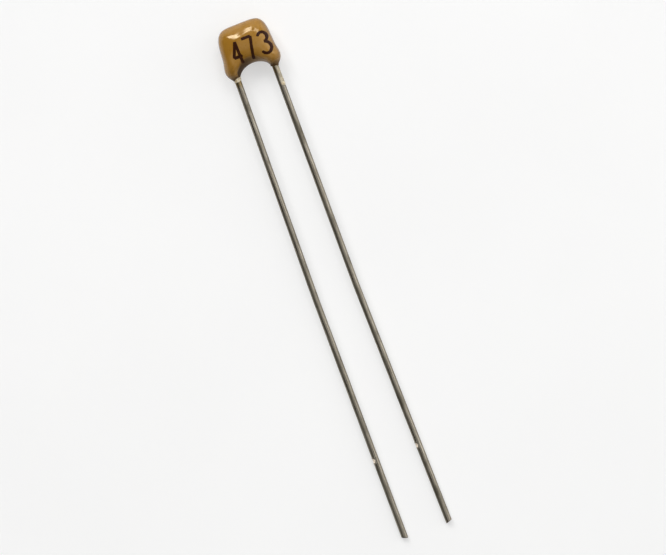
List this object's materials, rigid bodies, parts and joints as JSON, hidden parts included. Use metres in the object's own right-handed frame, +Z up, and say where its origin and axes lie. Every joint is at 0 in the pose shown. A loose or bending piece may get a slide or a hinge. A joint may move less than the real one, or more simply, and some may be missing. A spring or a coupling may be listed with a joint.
{
  "type": "multilayer ceramic capacitor",
  "caption": "Epoxy-dipped block of ceramic and metal layers on two straight wire leads, which stores charge and passes alternating current.",
  "frame": {"origin": "the middle of the bottom of the device's box as it lies on its back", "axes": "+Y along the leads towards the crown of the coating, +Z up out of the marked face, +X to the right when the marked face is seen with the crown up"},
  "size_m": [0.0046, 0.0418, 0.0025],
  "materials": {
    "epoxy": "ochre epoxy, cured from a dipped coat, glossy and slightly wavy",
    "ceramic": "fired barium titanate, matt",
    "electrodes": "nickel printed as paste and fired",
    "end_metal": "fired metal paste, plated with tin",
    "solder": "tin solder, satin",
    "wire": "tinned steel wire, satin, slightly dulled"
  },
  "bodies": {
    "root": {"coating": "epoxy", "ceramic_block": "ceramic", "left_electrodes": "electrodes", "right_electrodes": "electrodes", "left_end_metal": "end_metal", "right_end_metal": "end_metal", "left_solder": "solder", "right_solder": "solder", "left_lead": "wire", "right_lead": "wire"}
  },
  "joints": []
}
